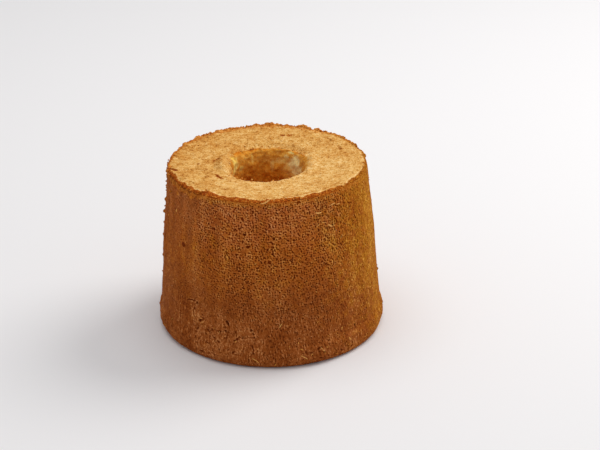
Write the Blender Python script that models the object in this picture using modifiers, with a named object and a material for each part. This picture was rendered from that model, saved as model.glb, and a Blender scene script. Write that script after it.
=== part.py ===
"""A tall chiffon cake, out of its tin and standing on its wide end.

One piece of sponge, turned about Z from a closed profile: a tapered wall with a swollen
band round its foot, a slightly dished top, and a tapered hole where the tin's tube stood.
The turned ring is then leant, tilted and made uneven, as a real cake is.
Metres, +Z up, origin at the middle of the underside.
"""

import math

import bpy
from mathutils import Vector, noise

# Driving dimensions
HEIGHT = 0.1245
FOOT_RADIUS = 0.0813  # the wall's straight taper, carried down to the underside
TOP_RADIUS = 0.0712
BELLY = 0.0010  # how far the wall swells outside that taper, halfway up
TUBE_TOP_RADIUS = 0.0284
TUBE_FOOT_RADIUS = 0.0226

# The swollen band round the foot, where the batter rose highest in the tin
BAND_SWELL = 0.0016
BAND_LOW = 0.0125
BAND_HIGH = 0.0180

# Rounded edges, as (across, up) radii
FOOT_ROUND = (0.0040, 0.0072)
RIM_ROUND = (0.0010, 0.0010)
LIP_ROUND = (0.0046, 0.0052)
MOUTH_ROUND = (0.0050, 0.0030)
TOP_DISH = 0.0021  # how much lower the top is at the hole than at the rim

# How the real cake departs from a turned one
TOP_SHIFT = -0.0024  # the top stands this far off the foot's centre, along X
TOP_TILT = 0.016  # rise of the top for each metre along X
WALL_UNEVEN = 0.0009
TOP_UNEVEN = 0.0005
HOLE_UNEVEN = 0.0011
BROAD_WAVE = 0.032  # size of the wall's broad dents
TORN_WAVE = 0.013  # size of the lumps in the torn hole wall
TOP_WAVE = 0.0186  # size of the lumps on the top
WALL_FADE = 0.007  # the wall's dents die out over this much of the top's edge
TOP_FADE = (0.012, 0.004)  # the top's lumps begin and are whole this far below the rim
DENTS_FROM = Vector((7.3, 2.1, 4.4))  # the place in the noise that the wall's dents are read from

# Fineness
STEPS_ROUND = 96
STEPS_UP_WALL = 15
STEPS_UP_HOLE = 9
STEPS_ACROSS_TOP = 4
STEPS_IN_ROUND = 4

MERGE = 0.00001
SHARP_DEGREES = 50


def ease(low, high, value):
    """0 below low, 1 above high, and a smooth rise between them."""
    t = min(1.0, max(0.0, (value - low) / (high - low)))
    return t * t * (3 - 2 * t)


def wall_radius(z):
    """Radius of the outer wall at a height, before the edges are rounded."""
    t = z / HEIGHT
    taper = FOOT_RADIUS + (TOP_RADIUS - FOOT_RADIUS) * t
    belly = BELLY * 4 * t * (1 - t)
    band = BAND_SWELL * (1 - ease(BAND_LOW, BAND_HIGH, z))
    return taper + belly + band


def hole_radius(z):
    """Radius of the hole at a height, before its edges are rounded."""
    return TUBE_FOOT_RADIUS + (TUBE_TOP_RADIUS - TUBE_FOOT_RADIUS) * z / HEIGHT


def top_height(radius):
    """Height of the dished top at a radius."""
    return HEIGHT - TOP_DISH * (1 - ease(TUBE_TOP_RADIUS, TOP_RADIUS, radius))


def quarter_round(centre, radii, start_degrees, turn_degrees):
    """Points along a quarter of an ellipse in the profile's plane, both ends included."""
    points = []
    for i in range(STEPS_IN_ROUND + 1):
        angle = math.radians(start_degrees + turn_degrees * i / STEPS_IN_ROUND)
        x = centre[0] + radii[0] * math.cos(angle)
        z = centre[1] + radii[1] * math.sin(angle)
        points.append((x, z))
    return points


def straight_steps(count, low, high):
    """count values spread evenly between low and high, the ends left out."""
    return [low + (high - low) * i / (count + 1) for i in range(1, count + 1)]


def cake_profile():
    """The closed outline of half a slice: down the wall, in along the base, up the hole, out."""
    rim_z = HEIGHT - RIM_ROUND[1]
    rim_x = wall_radius(rim_z) - RIM_ROUND[0]
    foot_x = wall_radius(FOOT_ROUND[1]) - FOOT_ROUND[0]
    mouth_x = hole_radius(MOUTH_ROUND[1]) + MOUTH_ROUND[0]
    lip_x = hole_radius(HEIGHT) + LIP_ROUND[0]
    lip_z = top_height(lip_x) - LIP_ROUND[1]

    points = quarter_round((rim_x, rim_z), RIM_ROUND, 90, -90)
    for z in straight_steps(STEPS_UP_WALL, rim_z, FOOT_ROUND[1]):
        points.append((wall_radius(z), z))
    points += quarter_round((foot_x, FOOT_ROUND[1]), FOOT_ROUND, 0, -90)
    points += quarter_round((mouth_x, MOUTH_ROUND[1]), MOUTH_ROUND, 270, -90)
    for z in straight_steps(STEPS_UP_HOLE, MOUTH_ROUND[1], lip_z):
        points.append((hole_radius(z), z))
    points += quarter_round((lip_x, lip_z), LIP_ROUND, 180, -90)
    for x in straight_steps(STEPS_ACROSS_TOP, lip_x, rim_x):
        points.append((x, top_height(x)))
    return points


def turned_ring(name):
    """The profile as an object with a Screw modifier, one whole turn about Z."""
    points = cake_profile()
    mesh = bpy.data.meshes.new(name)
    edges = [(i, (i + 1) % len(points)) for i in range(len(points))]
    mesh.from_pydata([(x, 0, z) for x, z in points], edges, [])
    obj = bpy.data.objects.new(name, mesh)
    screw = obj.modifiers.new("Turn", "SCREW")
    screw.steps = STEPS_ROUND
    screw.render_steps = STEPS_ROUND
    screw.use_merge_vertices = True
    screw.merge_threshold = MERGE
    return obj


def uneven(point):
    """Where a point of the turned ring lies on the real, slightly crooked cake."""
    up = ease(0.0, FOOT_ROUND[1], point.z)
    radius = math.hypot(point.x, point.y)
    outward = Vector((point.x, point.y, 0)) / radius
    in_hole = 1 - ease(TUBE_TOP_RADIUS, TUBE_TOP_RADIUS + LIP_ROUND[0], radius)
    rim_radius = TOP_RADIUS - RIM_ROUND[0]
    on_wall = ease(rim_radius - WALL_FADE, rim_radius, radius)
    on_top = ease(HEIGHT - TOP_FADE[0], HEIGHT - TOP_FADE[1], point.z)

    dents = noise.noise(point / BROAD_WAVE + DENTS_FROM)
    torn = noise.fractal(point / TORN_WAVE, 1.0, 2.0, 2)
    lumps = noise.noise(point / TOP_WAVE)
    push = WALL_UNEVEN * dents * on_wall + HOLE_UNEVEN * torn * in_hole
    lift = TOP_UNEVEN * lumps * (1 - in_hole) * on_top

    share = point.z / HEIGHT
    moved = point + outward * push * up + Vector((TOP_SHIFT * share, 0, 0))
    moved.z += (lift + TOP_TILT * point.x * share * share) * up
    return moved


def centre_over_origin(mesh):
    """Slide the mesh flat until the middle of its plan lies on the Z axis."""
    lows = [min(vertex.co[axis] for vertex in mesh.vertices) for axis in range(2)]
    highs = [max(vertex.co[axis] for vertex in mesh.vertices) for axis in range(2)]
    middle = Vector((lows[0] + highs[0], lows[1] + highs[1], 0)) / 2
    for vertex in mesh.vertices:
        vertex.co -= middle


def crust_material():
    """Browned, dry sponge: matt and warm."""
    material = bpy.data.materials.new("cake_crust")
    material.use_nodes = True
    shader = material.node_tree.nodes["Principled BSDF"]
    shader.inputs["Base Color"].default_value = (0.42, 0.185, 0.045, 1)
    shader.inputs["Roughness"].default_value = 0.85
    shader.inputs["Metallic"].default_value = 0.0
    return material


def chiffon_cake(collection):
    """The cake: the turned ring made a mesh, then every point moved to its uneven place."""
    ring = turned_ring("chiffon_cake_outline")
    collection.objects.link(ring)
    graph = bpy.context.evaluated_depsgraph_get()
    mesh = bpy.data.meshes.new_from_object(ring.evaluated_get(graph))
    bpy.data.objects.remove(ring)

    for vertex in mesh.vertices:
        vertex.co = uneven(vertex.co.copy())
    centre_over_origin(mesh)
    mesh.shade_smooth()
    mesh.set_sharp_from_angle(angle=math.radians(SHARP_DEGREES))
    mesh.materials.append(crust_material())
    mesh.name = "chiffon_cake"
    cake = bpy.data.objects.new("chiffon_cake", mesh)
    collection.objects.link(cake)
    return cake


def main():
    for obj in list(bpy.data.objects):
        bpy.data.objects.remove(obj)
    collection = bpy.data.collections.new("chiffon cake")
    bpy.context.scene.collection.children.link(collection)
    chiffon_cake(collection)


main()
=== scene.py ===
import math
import random

import bmesh
import bpy
import numpy as np
from mathutils import Matrix, Vector, noise


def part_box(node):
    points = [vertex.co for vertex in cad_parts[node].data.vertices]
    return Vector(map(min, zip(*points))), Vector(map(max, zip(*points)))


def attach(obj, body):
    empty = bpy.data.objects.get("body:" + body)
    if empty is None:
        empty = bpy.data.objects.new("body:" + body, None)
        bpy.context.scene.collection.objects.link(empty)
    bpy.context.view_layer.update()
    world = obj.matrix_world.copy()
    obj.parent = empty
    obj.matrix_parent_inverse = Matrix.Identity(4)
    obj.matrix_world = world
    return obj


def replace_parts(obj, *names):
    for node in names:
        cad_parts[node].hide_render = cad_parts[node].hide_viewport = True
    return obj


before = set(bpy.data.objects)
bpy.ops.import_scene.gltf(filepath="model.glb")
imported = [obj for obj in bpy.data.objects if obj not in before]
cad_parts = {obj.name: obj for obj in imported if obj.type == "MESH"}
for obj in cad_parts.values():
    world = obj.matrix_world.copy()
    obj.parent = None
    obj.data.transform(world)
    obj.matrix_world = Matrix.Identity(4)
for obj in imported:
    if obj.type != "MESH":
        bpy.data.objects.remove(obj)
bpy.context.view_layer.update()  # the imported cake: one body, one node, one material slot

mm = 0.001
lowCorner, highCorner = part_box("chiffon_cake")
print("frame read, cake", [round(c / mm, 1) for c in highCorner - lowCorner], "mm")

# The baked shape: the same rules as the solid in the frame, sized from its box
baked = {
    "height": highCorner.z - 1.21 * mm,  # the tilt lifts the highest edge by the rest
    "footRadius": highCorner.x - 1.26 * mm,
    "topRadius": highCorner.x - 11.36 * mm,
    "belly": 1.0 * mm,
    "tubeTop": 28.4 * mm,
    "tubeFoot": 22.6 * mm,
    "bandSwell": 1.6 * mm,
    "bandLow": 12.5 * mm,
    "bandHigh": 18.0 * mm,
    "footRound": (4.0 * mm, 7.2 * mm),
    "lipRound": (4.6 * mm, 5.2 * mm),
    "mouthRound": (5.0 * mm, 3.0 * mm),
    "rimRound": 1.0 * mm,
    "dish": 2.1 * mm,
    "topShift": -2.4 * mm,
    "topTilt": 0.016,
    "wallUneven": 0.9 * mm,
    "topUneven": 0.5 * mm,
    "holeUneven": 1.1 * mm,
}
cakeTop, topRadius, tubeTop = baked["height"], baked["topRadius"], baked["tubeTop"]


def rise(low, high, value):
    # 0 at low and 1 at high, smooth between; value may be an array
    t = np.clip((value - low) / (high - low), 0.0, 1.0)
    return t * t * (3 - 2 * t)


def fade(low, high, value):
    return 1 - rise(low, high, value)


def wallRadius(z):
    t = z / cakeTop
    taper = baked["footRadius"] + (topRadius - baked["footRadius"]) * t
    band = baked["bandSwell"] * fade(baked["bandLow"], baked["bandHigh"], z)
    return taper + baked["belly"] * 4 * t * (1 - t) + band


def holeRadius(z):
    return baked["tubeFoot"] + (tubeTop - baked["tubeFoot"]) * z / cakeTop


def topHeight(radius):
    return cakeTop - baked["dish"] * fade(tubeTop, topRadius, radius)


def lumps(points, size, octaves=1, rough=1.0, offset=(0, 0, 0)):
    # smooth noise at each point of an array; size is how wide its lumps are
    rows = (points.reshape(-1, 3) / size + np.array(offset)).tolist()
    values = [noise.fractal(row, rough, 2.0, octaves) if octaves > 1 else noise.noise(row) for row in rows]
    return np.array(values).reshape(points.shape[:-1])


def crooked(points):
    # the turned shape leant, tilted and dented, exactly as the frame's solid is
    z = points[..., 2]
    up = rise(0.0, baked["footRound"][1], z)
    radius = np.hypot(points[..., 0], points[..., 1])
    outward = points * (1, 1, 0) / radius[..., None]
    inHole = fade(tubeTop, tubeTop + baked["lipRound"][0], radius)
    rimRadius = topRadius - baked["rimRound"]
    onWall = rise(rimRadius - 7 * mm, rimRadius, radius)
    onTop = rise(cakeTop - 12 * mm, cakeTop - 4 * mm, z)
    dents = lumps(points, 32 * mm, offset=(7.3, 2.1, 4.4))
    push = baked["wallUneven"] * dents * onWall + baked["holeUneven"] * lumps(points, 13 * mm, 2) * inHole
    lift = baked["topUneven"] * lumps(points, 18.6 * mm) * (1 - inHole) * onTop
    share = z / cakeTop
    moved = points + outward * (push * up)[..., None]
    moved[..., 0] += baked["topShift"] * share
    moved[..., 2] += (lift + baked["topTilt"] * points[..., 0] * share * share) * up
    return moved


def apart(angleA, angleB):
    # degrees between two directions; 0 is +X and -90 faces the front
    return abs((angleA - angleB + 180) % 360 - 180)


def around(angle, middle, near, far):
    # 1 within near degrees of a direction, and 0 past far degrees
    return fade(near, far, apart(angle, middle))


def placeAt(angle, radius, z):
    # one place on or in the finished cake, from its place on the turned shape
    turn = math.radians(angle)
    return Vector(crooked(np.array([radius * math.cos(turn), radius * math.sin(turn), z])))


# Wear on the rim: degrees round, width in degrees, how deep in mm
rimNotches = [
    (-130.6, 2.2, 1.6), (-146, 4, 0.6), (-158, 6, 0.8), (-104, 4, 0.3), (-66, 5, 0.3), (20, 6, 0.6),
    (58, 7, 0.7), (82, 4, 0.6), (104, 8, 0.8), (128, 6, 0.9), (160, 6, 0.7),
]

# How far the brown crust runs in over the rim: degrees round, mm
crustOverRim = [
    (-180, 1.6), (-168, 1.6), (-164, 3.5), (-158, 2.4), (-152, 1.9), (-148, 3.3), (-144, 2.3), (-140, 4),
    (-136, 2), (-132, 3.8), (-128, 6.8), (-124, 5.9), (-120, 5.4), (-116, 4.6), (-112, 4), (-108, 6),
    (-104, 5.8), (-100, 4.3), (-96, 4.6), (-92, 2.7), (-88, 6), (-84, 4.7), (-80, 5.4), (-76, 4.4), (-72, 5),
    (-68, 2.6), (-64, 4.8), (-60, 5), (-56, 3.8), (-52, 4.4), (-48, 5), (-44, 3.9), (-40, 2), (-36, 1.5),
    (-32, 3), (-24, 2), (-8, 1.4), (14, 2), (40, 4), (60, 6.6), (110, 6.8), (135, 5), (160, 2.6), (180, 1.6),
]


def wearRim(places, straight):
    # draws the cake's upper edge in and down, unevenly, and rounds it at the front
    angle = np.degrees(np.arctan2(straight[..., 1], straight[..., 0]))
    radius = np.hypot(straight[..., 0], straight[..., 1])
    circle = straight * (1, 1, 0) / radius[..., None]
    front = fade(-0.1, 0.6, np.sin(np.radians(angle)))
    worn = np.maximum(0, 0.20 + 0.50 * lumps(circle, 1 / 6, 3, 0.8))
    for middle, wide, deep in rimNotches:
        worn += deep * fade(0.25, 1.0, apart(angle, middle) / wide)
    near = rise(cakeTop - 6 * mm, cakeTop - 1 * mm, straight[..., 2]) * mm
    near *= rise(topRadius - 5 * mm, topRadius - 0.6 * mm, radius)
    places -= circle * (near * worn)[..., None]
    places[..., 2] -= near * (0.6 * worn + 0.3 * front)


# Outlines in the XZ plane, as lists of (x, z)

def stretch(start, end, spacing, curve=None):
    # places from start towards end, the end left out; curve puts each on the true outline
    count = max(1, round(math.dist(start, end) / spacing))
    places = [Vector(start).lerp(Vector(end), i / count) for i in range(count)]
    return [curve(*p) if curve else tuple(p) for p in places]


def arc(centre, radii, start, end, steps):
    # places along an ellipse's arc between two angles in degrees, the last left out
    turns = [math.radians(start + (end - start) * i / steps) for i in range(steps)]
    return [(centre[0] + radii[0] * math.cos(t), centre[1] + radii[1] * math.sin(t)) for t in turns]


def outlineNormals(outline):
    # the outward direction at each place of a closed outline, whichever way it runs
    following = np.roll(outline, -1, 0)
    ahead = following - np.roll(outline, 1, 0)
    ahead /= np.maximum(np.hypot(ahead[:, 0], ahead[:, 1]), 1e-9)[:, None]
    way = np.sign(np.sum(outline[:, 0] * following[:, 1] - following[:, 0] * outline[:, 1]))
    return way * np.stack([ahead[:, 1], -ahead[:, 0]], 1)


# Grids: one row of an array for each step round, one column for each place of the outline

def startGrid(outline, steps):
    turns = np.repeat(np.arange(steps)[:, None], len(outline), 1) * math.tau / steps
    return turns, np.repeat(outline[None, :, 0], steps, 0), np.repeat(outline[None, :, 1], steps, 0)


def shuffle(rng, values, reach):
    # moves the values by chance, so that no row or column of the grid shows
    values += rng.uniform(-1, 1, values.shape) * reach


def turnedGrid(x, z, turns):
    return np.stack(np.broadcast_arrays(x * np.cos(turns), x * np.sin(turns), z), -1)


def pushOut(places, outline, turns, shown, push):
    # moves the shown places out from the surface by push, in mm
    normals = outlineNormals(outline)[None, shown]
    places[:, shown] += turnedGrid(normals[..., 0], normals[..., 1], turns[:, shown]) * push[..., None] * mm


def wholeGrid(values, rows, fill=0.0):
    # values for the shown places, made up to the whole outline
    return np.concatenate([values, np.full((len(values), rows - values.shape[1]), fill)], 1)


def spinPart(outline, steps, firstStep, count, wedge):
    # the outline turned through some of the steps round, first as a thin wedge and then as copies of it,
    # which is far quicker; a part that isn't a full ring gets end walls
    bm = bmesh.new()
    rowLayer = bm.verts.layers.int.new("row")
    first = firstStep * math.tau / steps
    verts = []
    for row, (x, z) in enumerate(outline):
        verts.append(bm.verts.new((x * math.cos(first), x * math.sin(first), z)))
        verts[-1][rowLayer] = row
    edges = [bm.edges.new((a, b)) for a, b in zip(verts, verts[1:] + verts[:1])]
    turning = {"cent": (0, 0, 0), "axis": (0, 0, 1)}
    bmesh.ops.spin(bm, geom=verts + edges, angle=wedge * math.tau / steps, steps=wedge, **turning)
    copies = count // wedge - 1
    bmesh.ops.spin(bm, geom=bm.verts[:] + bm.edges[:] + bm.faces[:], angle=copies * wedge * math.tau / steps,
                   steps=copies, use_duplicate=True, **turning)
    seams = {vert for edge in bm.edges if edge.is_boundary for vert in edge.verts}
    bmesh.ops.remove_doubles(bm, verts=list(seams), dist=0.01 * mm)
    ends = [edge for edge in bm.edges if edge.is_boundary]
    for edge in ends:
        edge.smooth = False
    if ends:
        bmesh.ops.holes_fill(bm, edges=ends)
    bmesh.ops.recalc_face_normals(bm, faces=bm.faces)
    for face in bm.faces:
        face.smooth = len(face.verts) == 4
    return bm


def meshFrom(bm, name):
    mesh = bpy.data.meshes.new(name)
    bm.to_mesh(mesh)
    bm.free()
    return mesh


def readAll(items, key, kind=np.int32, wide=1):
    values = np.empty(len(items) * wide, kind)
    items.foreach_get(key, values)
    return values


def placeGrid(bm, name, outline, grid, attributes, mapPlaces, firstStep=0):
    # moves each vertex to its place in the grid, with its attributes and its UV map
    steps, rows = grid.shape[:2]
    mesh = meshFrom(bm, name)
    co = readAll(mesh.vertices, "co", np.float32, 3)
    row = readAll(mesh.attributes["row"].data, "value")
    mesh.attributes.remove(mesh.attributes["row"])
    step = np.round(np.arctan2(co[1::3], co[0::3]) / math.tau * steps).astype(int) % steps
    mesh.vertices.foreach_set("co", grid[step, row].astype(np.float32).ravel())
    for key, values in attributes.items():
        made = mesh.attributes.new(key, "FLOAT", "POINT")
        made.data.foreach_set("value", values[step, row].astype(np.float32))

    corners = readAll(mesh.loops, "vertex_index")
    starts = readAll(mesh.polygons, "loop_start")
    sides = np.diff(np.append(starts, len(corners)))
    face = np.repeat(np.arange(len(starts)), sides)
    cornerStep = (step[corners] - firstStep) % steps
    cornerRow = row[corners]
    lastStep = np.maximum.reduceat(cornerStep, starts)[face]
    lastRow = np.maximum.reduceat(cornerRow, starts)[face]
    ordinary = (sides == 4)[face]
    cornerStep = np.where(ordinary & (lastStep - cornerStep > steps // 2), cornerStep + steps, cornerStep)
    cornerRow = np.where(ordinary & (lastRow - cornerRow > 1), cornerRow + rows, cornerRow)
    flat = np.array(outline)[cornerRow % rows] - np.min(outline, 0)
    endWall = np.array([0.01, 0.97]) + np.array([0.98, 0.02]) * flat[:, ::-1] / np.ptp(outline, 0)[::-1]
    places = np.where(ordinary[:, None], mapPlaces(cornerStep, cornerRow), endWall)
    mesh.uv_layers.new(name="OFBake").uv.foreach_set("vector", places.astype(np.float32).ravel())
    mesh.update()
    return mesh


def finishPiece(mesh, material):
    mesh.materials.append(material)
    piece = bpy.data.objects.new(mesh.name, mesh)
    bpy.context.scene.collection.objects.link(piece)
    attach(piece, "root")
    print(piece.name, "made,", sum(len(p.vertices) - 2 for p in mesh.polygons), "triangles")
    return piece


# Materials

def addNode(tree, kind, settings=None, **inputs):
    # a node with its settings, and its inputs as values or as sockets to link; i0 is the first input
    node = tree.nodes.new(kind)
    for key, value in (settings or {}).items():
        setattr(node, key, value)
    for key, value in inputs.items():
        socket = node.inputs[int(key[1:])] if key[0] == "i" and key[1:].isdigit() else node.inputs[key]
        if isinstance(value, bpy.types.NodeSocket):
            tree.links.new(value, socket)
        else:
            socket.default_value = value
    return node


def newGroup(name, inputs, outputs):
    group = bpy.data.node_groups.new(name, "ShaderNodeTree")
    for socket, value in inputs.items():
        made = group.interface.new_socket(socket, in_out="INPUT", socket_type="NodeSocketFloat")
        made.default_value = value
    for socket in outputs:
        group.interface.new_socket(socket, in_out="OUTPUT", socket_type="NodeSocketFloat")
    return group, addNode(group, "NodeGroupInput").outputs, addNode(group, "NodeGroupOutput")


def calc(tree, operation, a, b=0.0):
    return addNode(tree, "ShaderNodeMath", {"operation": operation}, i0=a, i1=b).outputs[0]


def vectorCalc(tree, operation, a, b=(0, 0, 0)):
    return addNode(tree, "ShaderNodeVectorMath", {"operation": operation}, i0=a, i1=b).outputs[0]


def ease(tree, value, low, high, outLow=0.0, outHigh=1.0):
    # a smooth change from outLow to outHigh as value goes from low to high
    return addNode(tree, "ShaderNodeMapRange", {"interpolation_type": "SMOOTHSTEP"}, i0=value, i1=low,
                   i2=high, i3=outLow, i4=outHigh).outputs[0]


def weigh(tree, total, *terms):
    # total plus each value times its weight
    for value, weight in terms:
        settings = {"operation": "MULTIPLY_ADD"}
        total = addNode(tree, "ShaderNodeMath", settings, i0=value, i1=weight, i2=total).outputs[0]
    return total


def centred(tree, value):
    return calc(tree, "SUBTRACT", value, 0.5)


def mixColour(tree, share, a, b):
    return addNode(tree, "ShaderNodeMix", {"data_type": "RGBA"}, i0=share, i6=a, i7=b).outputs[2]


def toneRamp(tree, value, colours):
    # colours spread evenly from dark to light
    ramp = addNode(tree, "ShaderNodeValToRGB", None, i0=value)
    elements = ramp.color_ramp.elements
    while len(elements) < len(colours):
        elements.new(0.5)
    for i, colour in enumerate(colours):
        elements[i].position = i / (len(colours) - 1)
        elements[i].color = (*colour, 1)
    return ramp.outputs[0]


def noiseValue(tree, vector, scale, detail=2.0, roughness=0.5):
    return addNode(tree, "ShaderNodeTexNoise", None, Vector=vector, Scale=scale, Detail=detail,
                   Roughness=roughness).outputs[0]


def objectPoint(tree):
    return addNode(tree, "ShaderNodeTexCoord").outputs["Object"]


def attribute(tree, name):
    return addNode(tree, "ShaderNodeAttribute", {"attribute_name": name}).outputs["Fac"]


def makePoresGroup():
    # small round bubbles and the paler web between them; Stretch below 1 draws them out upright
    inputs = {"Scale": 600.0, "Stretch": 1.0, "Cover": 0.5, "Size": 0.5}
    group, given, out = newGroup("spongePores", inputs, ["Pore", "Web"])
    point = objectPoint(group)
    wander = addNode(group, "ShaderNodeTexNoise", None, Vector=point, Scale=420.0, Detail=1.0).outputs[1]
    shift = addNode(group, "ShaderNodeVectorMath", {"operation": "SCALE"}, i0=wander, Scale=0.0009)
    point = vectorCalc(group, "ADD", point, shift.outputs[0])
    squash = addNode(group, "ShaderNodeCombineXYZ", None, X=1.0, Y=1.0, Z=given["Stretch"]).outputs[0]
    point = vectorCalc(group, "MULTIPLY", point, squash)
    cells, edges = [addNode(group, "ShaderNodeTexVoronoi", {"feature": feature}, Vector=point,
                            Scale=given["Scale"]).outputs for feature in ("F1", "DISTANCE_TO_EDGE")]
    chances = addNode(group, "ShaderNodeSeparateColor", None, Color=cells["Color"]).outputs
    isOpen = calc(group, "LESS_THAN", chances[0], given["Cover"])
    reach = calc(group, "MULTIPLY", weigh(group, 0.45, (chances[1], 0.75)), given["Size"])
    near = calc(group, "DIVIDE", cells["Distance"], reach)
    inPore = ease(group, near, 0.5, 1.15, 1.0, 0.0)
    group.links.new(calc(group, "MULTIPLY", inPore, isOpen), out.inputs["Pore"])
    group.links.new(ease(group, edges["Distance"], 0.02, 0.16, 1.0, 0.0), out.inputs["Web"])
    return group


def makeBandsGroup():
    # broad upright bands on the wall, left by the tin, and the finer upright drag marks
    group, given, out = newGroup("wallBands", {"Broad": 5.0, "Fine": 60.0}, ["Band", "Drag"])
    point = objectPoint(group)
    outward = vectorCalc(group, "NORMALIZE", vectorCalc(group, "MULTIPLY", point, (1, 1, 0)))
    height = addNode(group, "ShaderNodeSeparateXYZ", None, Vector=point).outputs[2]
    for scale, climb, socket in (("Broad", 3.0, "Band"), ("Fine", 4.0, "Drag")):
        lift = calc(group, "MULTIPLY", height, climb)
        lift = addNode(group, "ShaderNodeCombineXYZ", None, Z=lift).outputs[0]
        place = vectorCalc(group, "ADD", outward, lift)
        group.links.new(noiseValue(group, place, given[scale], 2.0, 0.6), out.inputs[socket])
    return group


def makeGrainGroup():
    # dry crumb: fine grain over soft mottling
    group, given, out = newGroup("crumbGrain", {"Fine": 1800.0, "Soft": 260.0}, ["Grain", "Mottle"])
    point = objectPoint(group)
    group.links.new(noiseValue(group, point, given["Fine"], 2.0, 0.7), out.inputs["Grain"])
    group.links.new(noiseValue(group, point, given["Soft"], 3.0, 0.6), out.inputs["Mottle"])
    return group


poresGroup, bandsGroup, grainGroup = makePoresGroup(), makeBandsGroup(), makeGrainGroup()


def useGroup(tree, group, **inputs):
    return addNode(tree, "ShaderNodeGroup", {"node_tree": group}, **inputs).outputs


def newMaterial(name, roughness=0.9):
    material = bpy.data.materials.new(name)
    material.use_nodes = True
    shader = material.node_tree.nodes["Principled BSDF"]
    for socket, value in (("Metallic", 0.0), ("Roughness", roughness), ("Specular IOR Level", 0.05)):
        shader.inputs[socket].default_value = value
    return material, material.node_tree, shader


def finishMaterial(tree, shader, colour, height, distance):
    tree.links.new(colour, shader.inputs["Base Color"])
    bump = addNode(tree, "ShaderNodeBump", None, Strength=1.0, Distance=distance, Height=height)
    tree.links.new(bump.outputs[0], shader.inputs["Normal"])


wallTones = {  # from the bottom of a pore to the palest web
    "brown": [(0.18, 0.023, 0.001), (0.34, 0.071, 0.005), (0.45, 0.11, 0.01), (0.56, 0.168, 0.023),
        (0.8, 0.34, 0.07)],
    # rosy: pinker, bluer tones, mostly for a painted sheen
    "rosyTintAndSheen": [(0.21, 0.03, 0.004), (0.36, 0.074, 0.01), (0.49, 0.118, 0.021), (0.61, 0.19, 0.045),
        (0.85, 0.37, 0.135)],
    # the golden tones also paint the light on the lit right side
    "goldenTintAndLight": [(0.2, 0.044, 0.001), (0.35, 0.102, 0.004), (0.45, 0.151, 0.008), (0.56, 0.222, 0.017),
        (0.82, 0.41, 0.06)],
    # foot: darker tones, for low on the wall and for the painted shade on the left
    "foot": [(0.14, 0.021, 0.002), (0.23, 0.05, 0.006), (0.31, 0.077, 0.012), (0.4, 0.115, 0.026),
        (0.64, 0.25, 0.08)],
    "rust": [(0.25, 0.042, 0.002), (0.44, 0.105, 0.008), (0.56, 0.165, 0.016), (0.67, 0.245, 0.035),
        (0.86, 0.43, 0.12)],
}


def makeWallMaterial():
    material, tree, shader = newMaterial("wallCrustFinish")
    names = ("darkMarksAndShade", "web", "upright", "pale", "goldenTintAndLight", "rosyTintAndSheen", "dark", "rust")
    darkMarksAndShade, web, upright, pale, goldenAndLitShare, rosyTintAndSheen, dark, rust = [attribute(tree, name) for name in names]
    bands = useGroup(tree, bandsGroup, Broad=5.0, Fine=95.0)
    grain = useGroup(tree, grainGroup, Fine=1500.0, Soft=300.0)
    drawn = ease(tree, upright, 0.2, 0.8, 1.0, 0.35)
    fine = useGroup(tree, poresGroup, Scale=950.0, Stretch=drawn, Cover=0.35, Size=0.6)["Pore"]
    drag = calc(tree, "MULTIPLY", centred(tree, bands["Drag"]), upright)
    fleck = calc(tree, "MULTIPLY", ease(tree, bands["Drag"], 0.62, 0.72), upright)
    band = centred(tree, bands["Band"])
    # darker in pits, holes and cracks: partly the crumb's own colour, partly painted shade in them
    tone = weigh(tree, 0.48, (centred(tree, grain["Grain"]), 1.4), (centred(tree, grain["Mottle"]), 0.6),
                 (web, 0.53), (pale, 0.12), (fleck, 0.45), (drag, 1.3), (fine, -0.22), (darkMarksAndShade, -0.72),
                 (band, 0.75))
    hue = centred(tree, noiseValue(tree, objectPoint(tree), 160.0, 2.0, 0.6))
    # golden share: golden crust, and on the right painted light, the lit side coloured lighter and yellower
    goldenTintAndLight = ease(tree, weigh(tree, goldenAndLitShare, (band, 0.3), (hue, 1.5)), -0.05, 1.0)
    # painted shade on the left of the wall, and darker towards the bottom, mixed in with the foot tones
    leftShadeAndLowDark = ease(tree, weigh(tree, dark, (hue, -0.9)), 0.0, 1.0)
    colour = toneRamp(tree, tone, wallTones["brown"])
    for name, share in (("goldenTintAndLight", goldenTintAndLight), ("rosyTintAndSheen", rosyTintAndSheen), ("foot", leftShadeAndLowDark), ("rust", rust)):
        colour = mixColour(tree, share, colour, toneRamp(tree, tone, wallTones[name]))
    finishMaterial(tree, shader, colour, weigh(tree, 0.0, (grain["Grain"], 0.6), (fine, -0.8)), 0.4 * mm)
    return material


topTones = {
    "gold": [(0.42, 0.155, 0.018), (0.6, 0.28, 0.057), (0.72, 0.382, 0.1), (0.79, 0.47, 0.155),
        (0.88, 0.6, 0.27)],
    "toast": [(0.22, 0.048, 0.004), (0.42, 0.14, 0.018), (0.56, 0.23, 0.038), (0.66, 0.31, 0.064),
        (0.76, 0.41, 0.12)],
    "torn": [(0.42, 0.085, 0.003), (0.63, 0.198, 0.012), (0.74, 0.305, 0.034), (0.81, 0.42, 0.08),
        (0.9, 0.59, 0.195)],
    "cream": [(0.8, 0.42, 0.06), (0.92, 0.58, 0.11), (0.97, 0.69, 0.17), (1.0, 0.77, 0.24),
        (1.0, 0.86, 0.38)],
    "milky": [(0.82, 0.47, 0.125), (0.96, 0.66, 0.24), (1.0, 0.79, 0.34), (1.0, 0.86, 0.43),
        (1.0, 0.92, 0.56)],
    "rust": wallTones["rust"],
    "goldenTintAndLight": wallTones["goldenTintAndLight"],
}


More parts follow.
